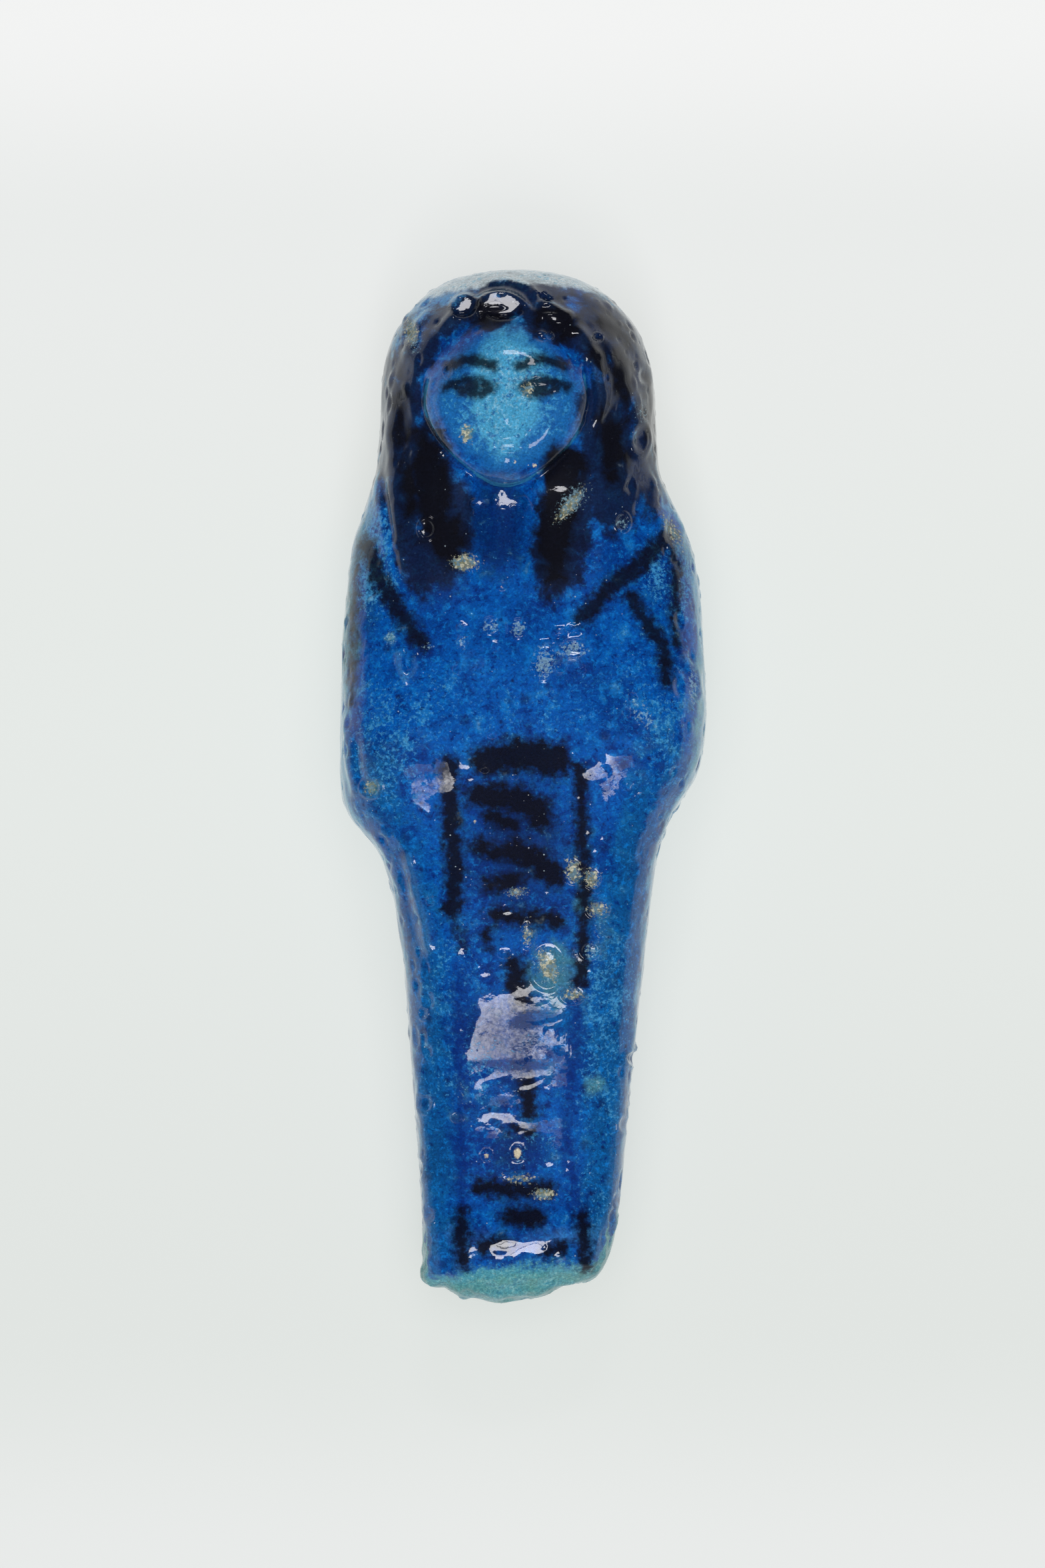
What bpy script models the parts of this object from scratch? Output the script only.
"""Ushabti figurine: one solid mummiform figure of glazed faience, lying on its back.

Metres, +Z up. The crown points to +Y and the face up. The origin is on the surface that the
figure lies on, under the middle of its box.

The form is laid out in shares: down is a share of the length from the crown, across a share of
half the elbow width from the middle line, and height a share of the depth from that surface.
"""

import math

import bmesh
import bpy
import numpy as np

# Driving sizes
FIGURE_LENGTH = 0.110
ELBOW_WIDTH = 0.039
FIGURE_DEPTH = 0.025

# Mesh: points around a section, and the spacing of the sections in each stretch of the length
POINTS_AROUND = 64
CROWN_SECTIONS, SOLE_SECTIONS = 12, 7
STRETCHES = (  # from the crown's dome to the sole's: last share down, step in shares
    (0.240, 0.0085),
    (0.560, 0.0160),
    (0.905, 0.0240),
    (1.000, 0.0095),
)
FRONT_DENSITY = 2.2  # how much closer the points stand over the middle of the front than at the back

# Outline seen from the front: down, reach to the figure's left of the picture, reach to its right
OUTLINE = (
    (0.000, 0.860, 0.700),
    (0.045, 0.792, 0.708),
    (0.125, 0.779, 0.720),
    (0.190, 0.800, 0.738),
    (0.227, 0.856, 0.820),
    (0.268, 0.935, 0.923),
    (0.330, 0.974, 0.969),
    (0.430, 1.000, 1.000),
    (0.474, 0.995, 0.978),
    (0.495, 0.993, 0.944),
    (0.515, 0.984, 0.864),
    (0.536, 0.934, 0.790),
    (0.557, 0.800, 0.748),
    (0.580, 0.750, 0.722),
    (0.640, 0.678, 0.678),
    (0.720, 0.630, 0.630),
    (0.800, 0.597, 0.583),
    (0.890, 0.560, 0.533),
    (0.965, 0.535, 0.480),
    (1.000, 0.520, 0.460),
)

# Middle line seen from the side: down, front height, back height (below 0 is pressed flat)
PROFILE = (
    (0.000, 0.815, 0.120),
    (0.060, 0.850, 0.030),
    (0.130, 0.850, -0.010),
    (0.200, 0.790, -0.020),
    (0.240, 0.765, -0.025),
    (0.290, 0.772, -0.030),
    (0.380, 0.830, -0.030),
    (0.460, 0.846, -0.030),
    (0.500, 0.838, -0.028),
    (0.540, 0.821, -0.025),
    (0.600, 0.795, -0.020),
    (0.690, 0.752, 0.000),
    (0.710, 0.738, 0.007),
    (0.740, 0.712, 0.018),
    (0.765, 0.690, 0.028),
    (0.790, 0.672, 0.036),
    (0.840, 0.643, 0.050),
    (0.892, 0.616, 0.045),
    (0.915, 0.636, 0.042),
    (0.935, 0.664, 0.040),
    (0.960, 0.640, 0.045),
    (1.000, 0.560, 0.060),
)
SEAM_HEIGHT = 0.40  # where a section is widest
SQUARENESS = (  # down, front exponent, back exponent of the section (2 is an ellipse)
    (0.000, 2.2, 2.2),
    (0.150, 2.5, 2.4),
    (0.300, 3.4, 2.5),
    (0.500, 3.8, 2.5),
    (0.700, 3.5, 2.4),
    (0.900, 3.4, 2.6),
    (1.000, 3.0, 2.8),
)

CROWN_DOME = 0.125  # share of the length that the top of the wig is rounded over, from the front
CROWN_EXPONENT = 2.25
CROWN_SIDE_SQUARENESS = 0.72  # under 1 makes the side view's dome squarer than the front view's
FOOT_DOME = 0.035
FOOT_EXPONENT = 2.6
SOLE_LOWEST = -0.10  # across; the sole is cut back to both sides of this place
SOLE_CUT_LEFT = 0.008
SOLE_CUT_RIGHT = 0.015
SOLE_STARTS = 0.92

# Head, in shares
FACE_CENTRE = (-0.09, 0.130)
FACE_REACH = (0.445, 0.080)
FACE_RISE = 0.088
CHIN_NARROWING = 0.30
FACE_EDGE, FACE_EDGE_WIDTH = 1.12, 0.48  # where the face's egg ends and how gently, in face reaches
WIG_ROLL_RISE = 0.030
WIG_ROLL_AT = 1.20  # in face reaches from the face's centre
WIG_ROLL_WIDTH = 0.17
WIG_ROLL_FADES_FROM, WIG_ROLL_FADES_OVER = 0.35, 0.6  # face reaches below the face's centre
LAPPET_PLACES = (  # across: inner and outer edge at the jaw, then inner and outer at the lower end
    ((-0.245, -0.730), (-0.285, -0.600)),
    ((0.030, 0.700), (0.060, 0.440)),
)
LAPPET_STARTS, LAPPET_ENDS = 0.150, 0.312
LAPPET_RISE = 0.034
LAPPET_EDGE = 0.16
LAPPET_TOP_LENGTH, LAPPET_END_LENGTH = 0.050, 0.035  # how gently a lappet starts and ends
LAPPET_FROM_FACE, LAPPET_FROM_FACE_WIDTH = 0.90, 0.25  # in face reaches
NECK_CENTRE = (-0.107, 0.232)
NECK_REACH = (0.19, 0.050)
NECK_DEPTH = 0.055
NECK_FROM_FACE, NECK_FROM_FACE_WIDTH = 0.95, 0.20  # in face reaches

# Face, in face reaches from the face's centre: thirds from hairline to chin, five eyes across
BROW_AT, NOSE_BASE_AT, MOUTH_AT, CHIN_AT = -0.33, 0.34, 0.56, 0.82
EYE_AT, EYE_ACROSS = -0.16, 0.40
BROW_SIZE, SOCKET_SIZE, LID_SIZE = (0.36, 0.13), (0.315, 0.17), (0.21, 0.10)
LIPS_SIZE, CHIN_SIZE = (0.30, 0.12), (0.30, 0.18)
BRIDGE_WIDTH, NOSTRILS_WIDTH = 0.16, 0.25
BRIDGE_SHARE, LID_SHARE = 0.30, 0.60  # of the nose's rise, and of the eye's depth
NOSE_TOP_LENGTH, NOSE_BASE_LENGTH = 0.22, 0.20
FEATURES_EDGE = 0.20  # how gently the features fade towards the egg's edge
BROW_RISE, NOSE_RISE, LIP_RISE, CHIN_RISE, EYE_DEPTH = 0.010, 0.044, 0.018, 0.018, 0.027

# Folded arms and feet
FOREARMS = (  # elbow, then wrist: across, down
    ((-0.84, 0.490), (0.20, 0.385)),
    ((0.84, 0.480), (-0.20, 0.395)),
)
FOREARM_REACH = 0.050
FOREARM_RISE = 0.018
FISTS = ((0.36, 0.365), (-0.36, 0.372))
FIST_REACH = 0.042
FIST_RISE = 0.012
ELBOWS = ((-0.86, 0.455), (0.84, 0.445))
ELBOW_REACH = (0.62, 0.085)
ELBOW_RISE = 0.040
SHARE_ASPECT = FIGURE_LENGTH / (ELBOW_WIDTH / 2)  # across shares that one down share is as long as

GLAZE_BLUE = (0.012, 0.115, 0.42, 1.0)
GLAZE_ROUGHNESS = 0.16


def curve_through(rows, column, at):
    """The smooth curve through a table's rows that never overshoots them, read at some places."""
    place = np.array([row[0] for row in rows])
    value = np.array([row[column] for row in rows])
    step = np.diff(place)
    slope = np.diff(value) / step
    tangent = np.zeros(len(place))
    same_way = slope[:-1] * slope[1:] > 0
    tangent[1:-1][same_way] = 2 / (1 / slope[:-1][same_way] + 1 / slope[1:][same_way])
    tangent[0], tangent[-1] = slope[0], slope[-1]
    span = np.clip(np.searchsorted(place, at, side="right") - 1, 0, len(step) - 1)
    t = (at - place[span]) / step[span]
    return (
        value[span] * (1 + 2 * t) * (1 - t) ** 2
        + value[span + 1] * t**2 * (3 - 2 * t)
        + step[span] * tangent[span] * t * (1 - t) ** 2
        + step[span] * tangent[span + 1] * t**2 * (t - 1)
    )


def ease(x):
    """0 below 0, 1 above 1, and smooth between."""
    x = np.clip(x, 0, 1)
    return x * x * (3 - 2 * x)


def mound(distance):
    """A rounded rise: 1 in its middle and 0 from distance 1 on."""
    return np.clip(1 - distance**2, 0, 1) ** 1.5


def end_rounding(down, side_squareness=1.0):
    """How far each section is drawn in by the rounded crown and the rounded foot."""
    near_crown = np.clip(1 - down / CROWN_DOME, 0, 1)
    near_foot = np.clip((down - (1 - FOOT_DOME)) / FOOT_DOME, 0, 1)
    crown = (1 - near_crown**CROWN_EXPONENT) ** (side_squareness / CROWN_EXPONENT)
    return crown * (1 - near_foot**FOOT_EXPONENT) ** (1 / FOOT_EXPONENT)


def face_place(across, down):
    """Coordinates in face reaches from the face's centre, the egg drawn in towards the chin."""
    v = (down - FACE_CENTRE[1]) / FACE_REACH[1]
    narrowing = 1 - CHIN_NARROWING * np.clip(v, 0, 1.2) ** 1.6
    u = (across - FACE_CENTRE[0]) / (FACE_REACH[0] * narrowing)
    return u, v


def face_relief(u, v):
    """Brows, eyes, nose, lips and chin on the face's egg."""
    side = np.abs(u)

    def swelling(across, at, size):
        return mound(np.hypot((side - across) / size[0], (v - at) / size[1]))

    along_nose = np.clip((v - BROW_AT) / (NOSE_BASE_AT - BROW_AT), 0, 1)
    nose = (
        mound(side / (BRIDGE_WIDTH + (NOSTRILS_WIDTH - BRIDGE_WIDTH) * along_nose))
        * (BRIDGE_SHARE + (1 - BRIDGE_SHARE) * along_nose)
        * ease((v - BROW_AT) / NOSE_TOP_LENGTH + 0.5)
        * ease((NOSE_BASE_AT - v) / NOSE_BASE_LENGTH + 0.65)
    )
    features = (
        BROW_RISE * swelling(EYE_ACROSS, BROW_AT, BROW_SIZE)
        - EYE_DEPTH * swelling(EYE_ACROSS, EYE_AT, SOCKET_SIZE)
        + EYE_DEPTH * LID_SHARE * swelling(EYE_ACROSS, EYE_AT, LID_SIZE)
        + NOSE_RISE * nose
        + LIP_RISE * swelling(0, MOUTH_AT, LIPS_SIZE)
        + CHIN_RISE * swelling(0, CHIN_AT, CHIN_SIZE)
    )
    return features * ease((1 - np.hypot(u, v)) / FEATURES_EDGE)


def head_relief(across, down):
    """The face's egg, the wig's roll over the brow and the two lappets."""
    u, v = face_place(across, down)
    r = np.hypot(u, v)
    egg = ease((FACE_EDGE - r) / FACE_EDGE_WIDTH)
    roll = np.exp(-(((r - WIG_ROLL_AT) / WIG_ROLL_WIDTH) ** 2))
    roll = roll * ease((WIG_ROLL_FADES_FROM - v) / WIG_ROLL_FADES_OVER)
    rise = FACE_RISE * egg + face_relief(u, v) + WIG_ROLL_RISE * roll
    along = np.clip((down - LAPPET_STARTS) / (LAPPET_ENDS - LAPPET_STARTS), 0, 1)
    ends = ease((down - LAPPET_STARTS) / LAPPET_TOP_LENGTH)
    ends = ends * ease((LAPPET_ENDS - down) / LAPPET_END_LENGTH + 0.4)
    beside_face = ease((r - LAPPET_FROM_FACE) / LAPPET_FROM_FACE_WIDTH)
    for (inner, outer), (inner_end, outer_end) in LAPPET_PLACES:
        in_from = (across - inner - (inner_end - inner) * along) * math.copysign(1, outer)
        out_from = (outer + (outer_end - outer) * along - across) * math.copysign(1, outer)
        body = ease(in_from / LAPPET_EDGE + 0.5) * ease(out_from / LAPPET_EDGE + 0.5)
        rise = rise + LAPPET_RISE * body * ends * beside_face
    neck = np.hypot((across - NECK_CENTRE[0]) / NECK_REACH[0], (down - NECK_CENTRE[1]) / NECK_REACH[1])
    return rise - NECK_DEPTH * mound(neck) * ease((r - NECK_FROM_FACE) / NECK_FROM_FACE_WIDTH)


def arm_relief(across, down):
    """Forearms folded over the chest, with a fist at the end of each, all soft under the glaze."""
    rise = np.zeros_like(across)
    x = across / SHARE_ASPECT
    for (x0, y0), (x1, y1) in FOREARMS:
        start = np.array((x0 / SHARE_ASPECT, y0))
        way = np.array((x1 / SHARE_ASPECT, y1)) - start
        t = ((x - start[0]) * way[0] + (down - start[1]) * way[1]) / (way @ way)
        t = np.clip(t, 0, 1)
        gap = np.hypot(x - start[0] - t * way[0], down - start[1] - t * way[1])
        rise = np.maximum(rise, FOREARM_RISE * mound(gap / FOREARM_REACH))
    for fist_across, fist_down in FISTS:
        gap = np.hypot(x - fist_across / SHARE_ASPECT, down - fist_down)
        rise = rise + FIST_RISE * mound(gap / FIST_REACH)
    for elbow_across, elbow_down in ELBOWS:
        gap = np.hypot((across - elbow_across) / ELBOW_REACH[0], (down - elbow_down) / ELBOW_REACH[1])
        rise = rise + ELBOW_RISE * mound(gap)
    return rise


def plain_section(down):
    """A section before its relief, from the back's middle round by the picture's left: across,
    height, and how squarely each point faces up."""
    left = curve_through(OUTLINE, 1, down) * end_rounding(down)
    right = curve_through(OUTLINE, 2, down) * end_rounding(down)
    rounding = end_rounding(down, CROWN_SIDE_SQUARENESS)
    front = SEAM_HEIGHT + (curve_through(PROFILE, 1, down) - SEAM_HEIGHT) * rounding
    back = SEAM_HEIGHT - (SEAM_HEIGHT - curve_through(PROFILE, 2, down)) * rounding
    turn = np.linspace(-math.pi / 2, 3 * math.pi / 2, 721)
    in_front = np.sin(turn) > 0
    square = np.where(in_front, curve_through(SQUARENESS, 1, down), curve_through(SQUARENESS, 2, down))
    out = np.abs(np.cos(turn)) ** (2 / square)
    up = np.abs(np.sin(turn)) ** (2 / square)
    across = np.where(np.cos(turn) > 0, -left, right) * out
    height = SEAM_HEIGHT + np.where(in_front, front - SEAM_HEIGHT, back - SEAM_HEIGHT) * up
    return across, height, ease((up - 0.25) / 0.5) * in_front * rounding


def ring(down):
    """A section's points, spaced along its length and closer together over the front."""
    across, height, facing = plain_section(down)
    x, z = across * ELBOW_WIDTH / 2, height * FIGURE_DEPTH
    lengths = np.hypot(np.diff(x), np.diff(z))
    middle_height = (height[1:] + height[:-1]) / 2
    weight = 1 + (FRONT_DENSITY - 1) * ease((middle_height - SEAM_HEIGHT) / 0.2)
    walked = np.concatenate([[0], np.cumsum(lengths * weight)])
    wanted = np.arange(POINTS_AROUND) / POINTS_AROUND * walked[-1]
    across, height, facing = (np.interp(wanted, walked, values) for values in (across, height, facing))
    downs = np.full_like(across, down)
    height = height + facing * (head_relief(across, downs) + arm_relief(across, downs))
    height = np.maximum(height, 0)
    off = across - SOLE_LOWEST
    cut = np.where(off < 0, SOLE_CUT_LEFT, SOLE_CUT_RIGHT) * (np.abs(off) / 0.5) ** 1.5
    y = 0.5 - down + cut * ease((down - SOLE_STARTS) / (1 - SOLE_STARTS))
    return np.stack([across * ELBOW_WIDTH / 2, y * FIGURE_LENGTH, height * FIGURE_DEPTH], axis=1)


def dome_places(reach, exponent, count):
    """Distances from an end at which a dome's sections stand, evenly round its curve."""
    turns = [math.pi / 2 * (i + 1) / count for i in range(count)]
    return [reach * (1 - max(0.0, math.cos(turn)) ** (2 / exponent)) for turn in turns]


def section_places():
    """Shares down at which the sections stand, from just under the crown to just over the sole."""
    places = dome_places(CROWN_DOME, CROWN_EXPONENT, CROWN_SECTIONS)
    sole = [1 - place for place in reversed(dome_places(FOOT_DOME, FOOT_EXPONENT, SOLE_SECTIONS))]
    start = places[-1]
    for end, step in STRETCHES:
        end = min(end, sole[0])
        count = max(1, round((end - start) / step))
        places += [start + (end - start) * (i + 1) / count for i in range(count)]
        start = end
    return places + sole[1:]


def moulded_figure():
    """A globe whose rows are drawn onto the figure's sections, its poles at the crown and the sole."""
    places = section_places()
    bm = bmesh.new()
    bmesh.ops.create_uvsphere(bm, u_segments=POINTS_AROUND, v_segments=len(places) + 1, radius=1)
    rings = [ring(down) for down in places]
    tallest = max(points[:, 2].max() for points in rings)
    for points in rings:
        points[:, 2] *= FIGURE_DEPTH / tallest
    first, last = rings[0].mean(axis=0), rings[-1].mean(axis=0)
    for vertex in bm.verts:
        row = round(math.acos(max(-1, min(1, vertex.co.z))) / math.pi * (len(places) + 1))
        if row == 0:
            vertex.co = (first[0], FIGURE_LENGTH / 2, first[2])
        elif row > len(places):
            vertex.co = (last[0], -FIGURE_LENGTH / 2, last[2])
        else:
            turn = math.atan2(vertex.co.y, vertex.co.x) - math.pi / 2
            vertex.co = rings[row - 1][round(turn / math.tau * POINTS_AROUND) % POINTS_AROUND]
    mesh = bpy.data.meshes.new("ushabti_figurine")
    bm.to_mesh(mesh)
    bm.free()
    return mesh


def blue_faience():
    material = bpy.data.materials.new("blue_faience")
    material.use_nodes = True
    shader = material.node_tree.nodes["Principled BSDF"]
    shader.inputs["Base Color"].default_value = GLAZE_BLUE
    shader.inputs["Roughness"].default_value = GLAZE_ROUGHNESS
    shader.inputs["Metallic"].default_value = 0.0
    return material


def main():
    for obj in list(bpy.data.objects):
        bpy.data.objects.remove(obj)
    collection = bpy.data.collections.new("ushabti")
    bpy.context.scene.collection.children.link(collection)
    mesh = moulded_figure()
    mesh.materials.append(blue_faience())
    mesh.shade_smooth()
    collection.objects.link(bpy.data.objects.new("ushabti_figurine", mesh))


main()
